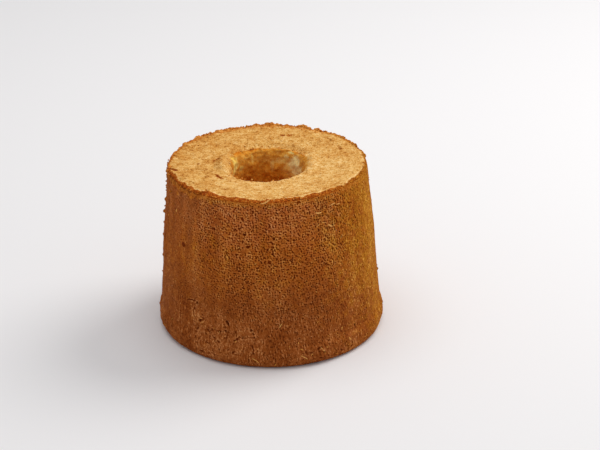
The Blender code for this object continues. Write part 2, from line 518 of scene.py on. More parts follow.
def makeTopMaterial():
    material, tree, shader = newMaterial("topCrumbFinish")
    inside = attribute(tree, "inside")
    grain = useGroup(tree, grainGroup, Fine=1000.0, Soft=330.0)
    fine = useGroup(tree, poresGroup, Scale=620.0, Stretch=1.0, Cover=0.30, Size=0.60)["Pore"]
    grainShift, mottleShift, speck = [  # each is weaker in the hole
        calc(tree, "MULTIPLY", value, ease(tree, inside, 0, 1, 1.0, share)) for value, share in
        ((centred(tree, grain["Grain"]), 0.35), (centred(tree, grain["Mottle"]), 0.6), (fine, 0.2))]
    # darker at the front of the rim, in the pits and deep in the hole: painted shade, beside real marks
    tone = weigh(tree, 0.54, (grainShift, 2.3), (mottleShift, 1.5), (speck, -0.16),
                 # lighter at the front of the top: painted light, beside a pale line along the edge
                 (attribute(tree, "darkMarksAndShade"), -0.75), (attribute(tree, "paleEdgeAndLitFront"), 0.4))

    def mixed(name, a, b):
        # two tones or colours, mixed by an attribute
        a, b = [toneRamp(tree, tone, topTones[c]) if isinstance(c, str) else c for c in (a, b)]
        return mixColour(tree, attribute(tree, name), a, b)

    torn = mixed("bare", "torn", mixed("milky", "cream", "milky"))
    colour = mixed("inside", mixed("toast", "gold", "toast"), torn)
    # the skin over the rim turns golden on the right: partly painted light
    colour = mixed("skin", colour, mixed("goldenTintAndLight", "rust", "goldenTintAndLight"))
    finishMaterial(tree, shader, colour, weigh(tree, 0.0, (grainShift, 0.7), (speck, -0.6)), 0.5 * mm)
    return material


shredTones = [(0.32, 0.08, 0.005), (0.48, 0.145, 0.014), (0.63, 0.235, 0.034), (0.77, 0.34, 0.068),
    (0.88, 0.46, 0.13)]


def makeBitsMaterial(name, start, tintWeight, distance):
    material, tree, shader = newMaterial(name)
    grain = useGroup(tree, grainGroup, Fine=1500.0, Soft=400.0)["Grain"]
    tone = weigh(tree, start, (attribute(tree, "tint"), tintWeight), (grain, 0.45))
    finishMaterial(tree, shader, toneRamp(tree, tone, shredTones), grain, distance)
    return material


wallMaterial = makeWallMaterial()
topMaterial = makeTopMaterial()
crumbMaterial = makeBitsMaterial("looseCrumbFinish", -0.1, 0.75, 0.3 * mm)
shredMaterial = makeBitsMaterial("crustShredFinish", -0.2, 1.0, 0.2 * mm)
print("materials made")


# The wall's crust: a shell round the wall and under the foot, in four quarters, with open pores

crust = {
    "stepsRound": 968,
    "quarters": ["crustRight", "crustBack", "crustLeft", "crustFront"],
    "spacing": 0.5 * mm,
    "underSpacing": 3.0 * mm,
    "thick": 3.2 * mm,
    "topGap": 0.5 * mm,  # the shell's upper edge lies this far below the cake's top
    "jitter": 0.30,
    "fray": 1.5 * mm,
    "poreSpacing": 1.72 * mm,
    "poreSpread": 0.34,
    "poreRadius": (0.36 * mm, 0.70 * mm),
    "poreDepth": (0.40 * mm, 1.00 * mm),
    "grainHeight": 0.07,  # this and the next are in mm
    "lumpHeight": 0.22,
    "seed": 11,
}
crustTop = cakeTop - crust["topGap"]

# Openings that stand out on the wall: degrees round, height, size across and up, turn in degrees, depth
wallHoles = [
    (-130.3, 41.2, 2.4, 1.7, 20, 1.2), (-128.1, 28.5, 3.4, 2.3, 15, 1.6), (-111.5, 32.5, 2, 4.4, 25, 1.7),
    (-113, 28.8, 1.6, 1.6, 0, 0.9), (-112.7, 26.2, 1.8, 1.8, 0, 1), (-123.8, 22.9, 3.6, 3, 30, 0.28),
    (-130.9, 15.3, 1.3, 1.3, 0, 0.8), (-134.6, 12.6, 1.2, 1.2, 0, 0.7), (-99.1, 28.9, 2.1, 2.2, 0, 1.3),
    (-98.1, 26.3, 1.6, 1.4, 0, 1), (-97.6, 23.6, 1.6, 1.2, 10, 0.9), (-107.6, 19.8, 1.9, 1.5, 20, 1),
    (-101.8, 100.1, 2.2, 1.7, 15, 1.1), (-100, 91.6, 2.6, 1.8, 8, 1.2), (-119.6, 101, 1.5, 1.8, 0, 1),
    (-111.9, 86.1, 1.8, 1.3, -20, 0.9), (-86, 97.8, 1.9, 2.2, 0, 1.1), (-86.9, 86.5, 1.8, 1.5, 0, 1),
    (-60.5, 99.5, 1.6, 1.4, 0, 0.9), (-40.5, 19.6, 1.6, 2.4, 0, 1.2), (-47.1, 6.8, 1.8, 1.5, 0, 1.1),
    (-71.6, 122.6, 3.4, 2.4, 10, 0.9), (38, 62, 2.6, 2, 30, 1.3), (71, 94, 2.2, 2.6, -15, 1.3),
    (104, 40, 2.8, 1.8, 5, 1.2), (128, 82, 2, 2.3, 0, 1.2), (163, 27, 2.4, 2, 25, 1.3),
]

# Cracks in the skin: runs of degrees and heights, then width and depth
wallCracks = [
    ([(-137.5, 40.6), (-134, 41.9), (-131.2, 42.1), (-130.2, 41.2)], 0.9, 0.6),
    ([(-143.4, 40.5), (-143.8, 34), (-143.3, 28), (-143.6, 22)], 0.8, 0.45),
    ([(-152.2, 19.5), (-150.8, 16.4), (-149.8, 13)], 0.9, 0.5),
    ([(-132, 37.4), (-133.1, 33.4), (-132.7, 29.6)], 1.1, 0.7), ([(-107.4, 20.2), (-105.4, 22.6)], 1.2, 0.8),
    ([(-105.4, 22.6), (-103, 21.9), (-100.9, 23.2), (-98.2, 23.4)], 0.8, 0.35),
    ([(-98.9, 17.2), (-97.9, 14.4), (-98.4, 11.8)], 1, 0.5), ([(-119.9, 18.8), (-118.7, 17.9)], 1.1, 0.4),
    ([(-117.3, 16.9), (-116.4, 17.1)], 1, 0.35), ([(-113.9, 19.4), (-113.1, 20.8)], 1.1, 0.4),
    ([(84, 30), (88, 31.5), (93, 30.6), (97, 33)], 1, 0.6),
    ([(142, 52), (143.5, 58), (142.4, 64)], 0.9, 0.6),
]

# Lumps on the wall: degrees round, height, size across and up, how far they stand out, how pale
wallLumps = [
    (-129.3, 32.2, 4.2, 4.4, 0.7, 1.3), (-140.9, 13, 1.3, 9, 0.25, 0.7), (-0.6, 38.9, 2.2, 2.4, 0.8, 0),
    (-4, 14.6, 3.6, 4, 0.9, 0), (-9, 24, 2.4, 3, 0.5, 0.2), (-176.4, 97.6, 2.4, 3, 1.1, 0),
    (-177, 87.6, 2.2, 3.4, 1.4, 0), (-177, 78.9, 1.8, 2.2, 0.8, 0), (-177, 69, 1.8, 2.6, 0.7, 0),
    (-177.5, 52, 2, 2.4, 0.6, 0), (46, 24, 3.4, 4, 0.6, 0.4), (118, 98, 2.4, 3, 0.9, 0.2),
]

# Rough, flaked patches low on the wall, and smoother ones where the skin stayed on:
# degrees round, height in mm, half width in degrees, half height in mm
flakedPatches = [
    (-120, 11.5, 17, 9), (-126.5, 24, 8, 9), (-113, 22, 9, 6), (-60, 8, 22, 6), (34, 12, 16, 8),
    (118, 10, 22, 8), (172, 16, 14, 10),
]
skinPatches = [
    (-118, 22, 24, 20), (58, 66, 15, 24), (96, 24, 18, 14), (150, 92, 16, 18), (12, 30, 12, 16),
]

# Reddish pits under the rim, and dark spots on the wall: degrees round, height, size
rimPits = [
    (-71.6, 123.2, 3.6), (-88, 120.8, 3), (-122, 120.4, 3.4), (-137, 120, 4.4), (-150, 116, 3),
    (30, 120.5, 3.6), (96, 121, 3.4), (149, 120, 4),
]
wallSpots = [(-141.5, 81, 4), (-150, 63, 1.4), (24, 88, 2), (118, 64, 2.6)]


def crustOutline():
    # places down the wall, round the foot, under to the hole, and back up inside; and where each part ends
    foot = baked["footRound"]
    thick = crust["thick"]
    footX = wallRadius(foot[1]) - foot[0]
    mouthX = holeRadius(0) + baked["mouthRound"][0] + 0.4 * mm
    onOutside = lambda x, z: (wallRadius(z), z)
    onInside = lambda x, z: (wallRadius(z) - thick, z)
    places = stretch((0, crustTop), (0, foot[1]), crust["spacing"], onOutside)
    onWall = len(places)
    places += arc((footX, foot[1]), foot, 0, -90, 17)
    onFoot = len(places)
    places += stretch((footX, 0), (mouthX, 0), crust["underSpacing"]) + [(mouthX, 0), (mouthX, thick * 0.7)]
    under = len(places)
    places += stretch((mouthX + 2 * mm, thick), (footX - thick, thick), 16 * mm)
    places += stretch((0, thick + 5 * mm), (0, crustTop - 6 * mm), 22 * mm, onInside)
    places += [(wallRadius(crustTop) - gap, crustTop - lower) for gap, lower in
               ((1.9 * mm, 2.5 * mm), (0.9 * mm, 0.5 * mm))]
    return np.array(places), onWall, onFoot, under


def strongest(parts):
    # the largest of several overlapping values at each place
    most = 0.0
    for part in parts:
        most = np.maximum(most, part)
    return most


def onPatches(patches, angle, z, ragged):
    # 1 on any of the patches and 0 off them, with a ragged edge
    shares = [np.hypot(apart(angle, middle) / wide, (z / mm - middleZ) / tall)
              for middle, middleZ, wide, tall in patches]
    return strongest(fade(0.75, 1.1, share + ragged) for share in shares)


def opennessAt(angle, z, points, tight):
    # how open the crumb is: 1 where pores crowd, 0 on tight skin
    front = fade(22, 64, apart(angle, -84) - 0.6 * 16 * rise(55 * mm, 105 * mm, z))
    value = strongest([front, 0.85 * around(angle, 96, 20, 75), 0.42 * around(angle, -4, 30, 66)])
    value = value * (0.25 + 0.75 * rise(12 * mm, 84 * mm, z)) + 0.30 * lumps(points, 26 * mm)
    return np.clip(value, 0.0, 1.0) * (1 - 0.7 * tight)


def uprightAt(angle, z, points):
    # where pores and grain are drawn out upright, by the tin's wall
    value = strongest([around(angle, -14, 22, 62), 0.8 * around(angle, 160, 20, 60),
                       0.8 * fade(28 * mm, 62 * mm, z)])
    return np.clip(value + 0.3 * lumps(points, 30 * mm), 0.0, 1.0)


def overWall(angle, z, middleAngle, middleZ, turn=0.0):
    # millimetres across and up the wall from a place on it, turned
    across = np.radians((angle - middleAngle + 180) % 360 - 180) * wallRadius(z) / mm
    up = (z - middleZ) / mm
    c, s = math.cos(math.radians(turn)), math.sin(math.radians(turn))
    return np.stack([across * c + up * s, up * c - across * s], -1)


def fromOval(angle, z, middleAngle, middleZ, wide, tall, turn=0.0):
    # how far out of an oval on the wall each place lies, 1 at its edge; heights and sizes in mm
    away = overWall(angle, z, middleAngle, middleZ * mm, turn) * 2
    return np.hypot(away[..., 0] / wide, away[..., 1] / tall)


def fromLine(places, end):
    # how far places lie from a straight line between the origin and its end
    along = np.clip(places @ end / (end @ end), 0.0, 1.0)
    return np.linalg.norm(places - along[..., None] * end, axis=-1)


def openings(angle, z, rough):
    # how far each opening and each crack sinks the wall, in mm
    for *place, depth in wallHoles:
        yield depth * fade(0.6, 1.15, fromOval(angle, z, *place) * (1 + 0.25 * rough))
    for run, width, depth in wallCracks:
        for (angleA, zA), (angleB, zB) in zip(run, run[1:]):
            away = fromLine(overWall(angle, z, angleA, zA * mm), overWall(angleB, zB * mm, angleA, zA * mm))
            yield depth * fade(0.3, 1.2, away / (width / 2) * (1 + 0.9 * rough))


def between(limits, share):
    # a value this share of the way from the lower limit to the upper
    return limits[0] + (limits[1] - limits[0]) * share


def stampPores(angle, z, openness, upright):
    # thousands of small pits, pressed one at a time into the grid's depth in mm
    rng = random.Random(crust["seed"])
    steps, rows = angle.shape
    depth = np.zeros(angle.shape)
    rowDepths = -z[0]
    pitch, spread = crust["poreSpacing"], crust["poreSpread"]
    count = 0
    for i in range(int(crustTop / pitch)):
        for j in range(int(math.tau * wallRadius(i * pitch) / pitch)):
            middleZ = (i + 0.5 + rng.uniform(-1, 1) * spread) * pitch
            perStep = math.tau * wallRadius(middleZ) / steps
            middleStep = (j + 0.5 * (i % 2) + rng.uniform(-1, 1) * spread) * pitch / perStep
            here = (int(middleStep) % steps, min(int(np.searchsorted(rowDepths, -middleZ)), rows - 1))
            isOpen, isUpright = openness[here], upright[here]
            chance, size, deep, swell = rng.random(), rng.random(), rng.random(), rng.random()
            if chance > 0.24 + 0.70 * isOpen or middleZ > crustTop - 0.8 * mm:
                continue
            radius = between(crust["poreRadius"], size * (0.35 + 0.65 * isOpen))
            radius *= 1.45 if swell > 0.98 else 1.0
            drawn = math.sqrt(1 + isUpright * (1.0 + 2.2 * (1 - isOpen)) + 0.30 * deep)
            tall, wide = radius * drawn, radius / drawn
            sink = between(crust["poreDepth"], deep * (0.4 + 0.6 * isOpen)) / mm
            span = int(wide / perStep) + 2
            columns = np.arange(int(middleStep) - span, int(middleStep) + span + 2) % steps
            half = tall + 0.5 * mm
            firstRow, lastRow = np.searchsorted(rowDepths, [-half - middleZ, half - middleZ])
            part = np.ix_(columns, np.arange(firstRow, min(lastRow + 1, rows)))
            leaning = (deep - 0.5) * 60 * (1 - isUpright) + 16 * isUpright
            away = overWall(angle[part], z[part], middleStep * 360 / steps, middleZ, leaning) * mm
            share = np.hypot(away[..., 0] / wide, away[..., 1] / tall)
            depth[part] = np.maximum(depth[part], sink * fade(0.50, 1.12, share))
            count += 1
    print("pores pressed", count)
    return depth


def nearby(values, reach):
    # each value averaged with its neighbours on the grid
    shifts = range(-reach, reach + 1)
    return sum(np.roll(np.roll(values, i, 0), j, 1) for i in shifts for j in shifts) / len(shifts) ** 2


def makeWallCrust():
    rng = np.random.default_rng(crust["seed"])
    outline, onWall, onFoot, under = crustOutline()
    steps, rows = crust["stepsRound"], len(outline)
    turns, x, z = startGrid(outline, steps)
    wall = slice(2, onWall)
    shuffle(rng, turns[:, wall], crust["jitter"] * math.tau / steps)
    shuffle(rng, z[:, wall], crust["jitter"] * crust["spacing"])
    x[:, wall] = wallRadius(z[:, wall])
    straight = turnedGrid(x, z, turns)
    places = crooked(straight)

    outside = slice(0, onFoot)
    angle, height, points = np.degrees(turns[:, outside]), z[:, outside], straight[:, outside]
    ragged = 0.30 * lumps(points, 9 * mm, 3, 0.8)
    tight = onPatches(skinPatches, angle, height, ragged)
    flaked = onPatches(flakedPatches, angle, height, ragged)
    ribs = lumps(np.stack([angle / 5.0, height / (45 * mm), 0 * angle], -1), 1)
    ribs *= rise(62 * mm, 100 * mm, height) * around(angle, -124, 18, 40)
    openness = np.clip(opennessAt(angle, height, points, tight) + 0.7 * ribs - 0.5 * flaked, 0, 1)
    upright = uprightAt(angle, height, points)
    pores = stampPores(angle, height, openness, upright)
    rough = lumps(points, 0.9 * mm)
    flakes = lumps(points, 3.0 * mm, 4, 0.9)
    bumps = [(out, pale, fade(0.3, 1.15, fromOval(angle, height, *place) * (1 + 0.3 * rough)))
             for *place, out, pale in wallLumps]
    raised = strongest(out * here for out, pale, here in bumps)
    palest = strongest(pale * here for out, pale, here in bumps)
    opened = strongest(openings(angle, height, rough))
    sunk = strongest([pores, opened, 0.42 * flaked * rise(0.22, 0.55, -flakes)])
    hollow = np.clip(sunk / 0.45, 0, 1)
    stained = strongest(fade(0.7, 1.2, fromOval(angle, height, *place, place[-1]) * (1 + 0.2 * rough))
                        for place in wallSpots)
    web = np.clip(2.0 * nearby(hollow, 2), 0, 1) * (1 - hollow)
    web = strongest([web, palest, 0.45 * flaked * rise(0.0, 0.6, flakes)])
    swell = lumps(points, 6.5 * mm, 2)
    push = crust["grainHeight"] * lumps(points, 1.3 * mm, 2, 0.8) + crust["lumpHeight"] * swell
    push += 0.10 * web - sunk + raised + 0.5 * ribs + 0.25 * swell * fade(6 * mm, 14 * mm, height)
    push += flaked * (0.30 * flakes + 0.75 * lumps(points * (1, 1, 1.4), 4.2 * mm, 3, 1.0))
    push *= rise(-1.5 * mm, 5 * mm, height)
    push *= 1 - 0.8 * rise(crustTop - 1.6 * mm, crustTop - 0.4 * mm, height)
    pushOut(places, outline, turns, outside, push)

    # golden crust at the right and the back-left; at the right it is also painted light, the lit side
    # coloured lighter and yellower
    goldenTintAndLight = around(angle, 2, 14, 72) + 0.4 * around(angle, 140, 20, 60) + 0.25 * lumps(points, 40 * mm)
    goldenTintAndLight = np.clip(goldenTintAndLight, 0, 1)
    # painted shade: the left of the wall, from 30 to 90 mm up, is coloured darker where shade falls
    shaded = 0.55 * around(angle, -152, 16, 50) * rise(30 * mm, 90 * mm, height)
    # painted sheen: high on the front-left of the wall the colour turns pinker and bluer, for the sky's
    # reflection there; low at the left it is the flakes' pinkish tint
    rosyTintAndSheen = np.maximum(0.75 * rise(74 * mm, 112 * mm, height) * around(angle, -112, 34, 70),
                      0.5 * around(angle, -142, 16, 50) * fade(24 * mm, 50 * mm, height))
    lowLeft = around(angle, -142, 14, 40) * fade(22 * mm, 60 * mm, height)
    rustLine = height + 1.5 * mm * lumps(points, 5 * mm, 2)
    rust = 0.8 * rise(crustTop - 4.5 * mm, crustTop - 1.5 * mm, rustLine) * (1 - 0.85 * goldenTintAndLight)
    pitEdge = 1 + 0.3 * lumps(points, 1.5 * mm)
    inPits = strongest(fade(0.8, 1.3, fromOval(angle, height, *place, place[-1]) * pitEdge)
                       for place in rimPits)

    # the upper edge is worn away raggedly, most at the left of the front
    wear = lumps(turnedGrid(1, 0, turns[:, 0]), 1 / 15, 4, 0.7)[:, None]
    edge = angle[:, :1]
    worn = 0.15 + 2.2 * around(edge, -150, 8, 26) + 0.3 * rise(30, 70, apart(edge, -90))
    lower = crust["fray"] * np.maximum(0, worn * (0.55 + 1.3 * wear))
    places[:, outside, 2] -= rise(crustTop - 7 * mm, crustTop, height) * lower
    wearRim(places, straight)
    places[..., 2] = np.maximum(places[..., 2], 0.0)

    # dark: the painted shade on the left, and darker towards the bottom of the wall; less of both on the
    # golden side, and a little less low at the left
    dark = np.maximum(shaded, 1.06 - rise(8 * mm, 114 * mm, height)) * (1 - 0.7 * goldenTintAndLight)
    shown = {
        # pits, holes and cracks are coloured darker with their depth: partly the crumb's own colour, partly
        # painted shade in them; the spots are real stains
        "darkMarksAndShade": np.maximum(hollow * (0.76 + 0.24 * rise(40 * mm, 84 * mm, height)), 0.8 * stained),
        "web": web * (1 - stained),
        "upright": upright,
        "pale": tight,
        "goldenTintAndLight": goldenTintAndLight,
        "rust": np.maximum(rust, inPits),
        "rosyTintAndSheen": np.clip(rosyTintAndSheen + 0.5 * swell, 0, 1) * (rosyTintAndSheen > 0.02),
    }
    attributes = {name: wholeGrid(values, rows) for name, values in shown.items()}
    attributes["dark"] = wholeGrid(dark - 0.7 * ribs - 0.18 * lowLeft, rows, 0.8)
    lengths = np.cumsum(np.hypot(*np.diff(outline, axis=0, prepend=outline[:1]).T))
    shares = np.interp(np.arange(rows + 1), [0, onFoot, under, rows], [0.0, 0.88, 0.93, 0.96])
    shares[:onFoot] = 0.88 * lengths[:onFoot] / lengths[onFoot]
    quarter = steps // len(crust["quarters"])

    def mapPlaces(step, row):
        return np.stack([0.003 + 0.994 * step / quarter, 0.003 + shares[row]], 1)

    for i, name in enumerate(crust["quarters"]):
        bm = spinPart(outline, steps, i * quarter, quarter, 11)
        mesh = placeGrid(bm, name, outline, places, attributes, mapPlaces, i * quarter)
        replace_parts(finishPiece(mesh, wallMaterial), "chiffon_cake")


makeWallCrust()


# The sponge: its top face, its rim and the torn wall of the hole

crumb = {
    "stepsRound": 560,
    "topSpacing": 0.72 * mm,
    "fineEdge": 6.0 * mm,  # the top is more finely made for this far in from the rim
    "edgeSpacing": 0.5 * mm,
    "holeSpacing": 0.85 * mm,
    "fineDepth": 46 * mm,  # the hole's wall is finely made this far down
    "jitter": 0.3,
    "pitCount": 300,
    "pitRadius": (0.55 * mm, 1.25 * mm),
    "ringPitCount": 520,
    "ringPitRadius": (0.45 * mm, 0.8 * mm),
    "pitDepth": 0.5,  # in mm
    "seed": 23,
}

# Marks that stand out on the top: degrees round, distance out in mm, size in mm, how dark
topMarks = [
    (171.5, 38.8, 2.2, 0.75), (168.6, 37.2, 2.6, 1), (-151.2, 40.2, 2.4, 1), (-147.6, 40.9, 2.6, 1),
    (-143.6, 40.9, 2.8, 1), (-139.8, 41.2, 2.2, 0.8), (-178.8, 49.5, 2.2, 0.5), (78.4, 51.6, 3.6, 0.6),
    (72.6, 52.2, 3.8, 0.5), (66, 50.6, 2.6, 0.3), (-121.6, 55, 2.6, 0.22), (-72.6, 70.2, 3, 1.2),
    (-69.8, 70.4, 3, 1.2), (120, 58, 2.2, 0.3), (-101, 60, 1.8, 0.25), (14, 52, 1.8, 0.25),
    (-58, 55, 2, 0.25),
]

# Fine cracks on the top: runs of degrees and distances out, then width, depth and how dark
topCracks = [
    ([(-172.4, 70.6), (-170, 67.6), (-167.4, 65.6)], 1.6, 0.5, 1),
    ([(-176, 69.8), (-173.4, 68.4)], 1.4, 0.3, 0.7),
    ([(-126.6, 71), (-127.8, 67.2), (-131.6, 62.8)], 1.3, 0.9, 0.7),
    ([(-81, 65.4), (-77.8, 64.8), (-70.7, 64.2), (-62.2, 63), (-57, 62.6)], 1, 0.3, 0.6),
    ([(-52, 64), (-44, 63.4), (-36, 63.8)], 0.9, 0.2, 0.3),
    ([(36, 60), (44, 61.2), (50, 60.4)], 0.9, 0.2, 0.3),
]

# Pale bare crumb in the hole: degrees round, height, width and height of the patch in mm, how pale, how milky
holePatches = [
    (152, 116.5, 11, 14, 1, 0), (134.6, 110.7, 4.2, 4.2, 1, 0), (158, 121, 5, 4, 0.5, 0),
    (114.2, 116, 2, 9, 0.45, 0), (46, 109, 22, 18, 0.30, 0.5), (44.5, 112, 13, 15, 0.95, 1),
    (33, 108, 8, 12, 0.8, 1), (57.8, 120.7, 6, 2.4, 1, 0.3), (63, 117, 5, 3.4, 0.7, 0.6),
    (72, 113, 8, 5, 0.35, 0.4), (84, 110, 3, 10, 0.35, 0.4), (-40, 104, 9, 12, 0.7, 0.4),
    (-120, 96, 7, 14, 0.6, 0.2),
]

# How far the lip of the hole bulges in over it: degrees round, mm
lipShape = [
    (-180, 2.8), (-165, 2.4), (-155, 0.6), (-145, -0.8), (-125, -0.7), (-92, -0.4), (-75, 0.2), (-58, 0.7),
    (-35, 0.7), (-18, 0.6), (0, 1.2), (18, 0.9), (40, -1.6), (65, -2), (95, -1.4), (125, -0.6), (150, 1),
    (165, 2.4), (180, 2.8),
]

# Lumps standing up along the rim: degrees round, width in mm, height in mm
rimLumps = [
    (98.2, 5, 1.1), (89.6, 7.6, 1.5), (68.8, 9, 1.3), (78.5, 3, 0.7), (58, 4, 0.9), (113, 3, 0.7),
    (123, 4, 0.8), (138, 3.5, 0.9), (150, 5, 0.9), (163, 3.5, 0.8), (38, 3, 0.8), (24, 4, 0.7), (8, 3, 0.8),
]


def spongeOutline():
    # places up the hidden side of the rim, over the top, round the lip, down the hole, round its foot,
    # and back inside; and where each of these ends
    rim, lip, mouth = baked["rimRound"], baked["lipRound"], baked["mouthRound"]
    rimX = wallRadius(cakeTop - rim) - rim - 0.15 * mm
    lipX = holeRadius(cakeTop) + lip[0]
    lipZ = topHeight(lipX) - lip[1]
    mouthX = holeRadius(mouth[1]) + mouth[0]
    sideZ, edgeX, deep = cakeTop - 2.6 * mm, rimX - crumb["fineEdge"], cakeTop - crumb["fineDepth"]
    upper, foot = wallRadius(cakeTop), wallRadius(8 * mm)
    onFace = lambda x, z: (x, topHeight(x))
    onHole = lambda x, z: (holeRadius(z), z)
    parts = [
        stretch((upper - 3.4 * mm, cakeTop - 9 * mm), (upper - 1.7 * mm, sideZ), 2 * mm)
        + stretch((wallRadius(sideZ) - 1.7 * mm, sideZ), (rimX + rim, cakeTop - rim), 0.7 * mm)
        + arc((rimX, cakeTop - rim), (rim, rim), 0, 90, 4),
        stretch((rimX, 0), (edgeX, 0), crumb["edgeSpacing"], onFace)
        + stretch((edgeX, 0), (lipX, 0), crumb["topSpacing"], onFace),
        arc((lipX, lipZ), lip, 90, 180, 10),
        stretch((0, lipZ), (0, deep), crumb["holeSpacing"], onHole),
        stretch((0, deep), (0, mouth[1]), 3.2 * mm, onHole)
        + arc((mouthX, mouth[1]), (mouth[0], mouth[1] - 0.2 * mm), 180, 270, 5)
        + [(mouthX + 3 * mm, 0.2 * mm), (mouthX + 5 * mm, 1.5 * mm)],
        stretch((mouthX + 12 * mm, 1.6 * mm), (foot - 8 * mm, 1.6 * mm), 14 * mm)
        + stretch((foot - 5 * mm, 3 * mm), (upper - 2.2 * mm, cakeTop - 12 * mm), 16 * mm),
    ]
    return np.array(sum(parts, [])), *np.cumsum([len(part) for part in parts[:-1]])


def onPlane(angle, out):
    # x and y of a place this far out in a direction
    return np.array([math.cos(math.radians(angle)), math.sin(math.radians(angle))]) * out


def pressPits(points, face, count, inner, outer, sizes):
    # small open bubbles between two distances out, pressed one at a time into the grid, from 0 to 1
    rng = random.Random(crumb["seed"])
    steps = points.shape[0]
    pitted = np.zeros(points.shape[:2])
    radii = np.hypot(points[0, face, 0], points[0, face, 1])
    for _ in range(count):
        out = math.sqrt(rng.uniform(inner * inner, outer * outer))
        turn = rng.uniform(0, math.tau)
        size = between(sizes, rng.random() ** 2)
        strength = rng.uniform(0.25, 0.9)
        rows = face.start + np.flatnonzero(abs(radii - out) < 1.3 * size + crumb["topSpacing"])
        middle, span = int(turn / math.tau * steps), int(1.3 * size / (out * math.tau / steps)) + 2
        part = np.ix_(np.arange(middle - span, middle + span + 1) % steps, rows)
        away = points[part][..., :2] - onPlane(math.degrees(turn), out)
        share = np.linalg.norm(away, axis=-1) / size
        pitted[part] = np.maximum(pitted[part], strength * fade(0.3, 1.2, share))
    return pitted


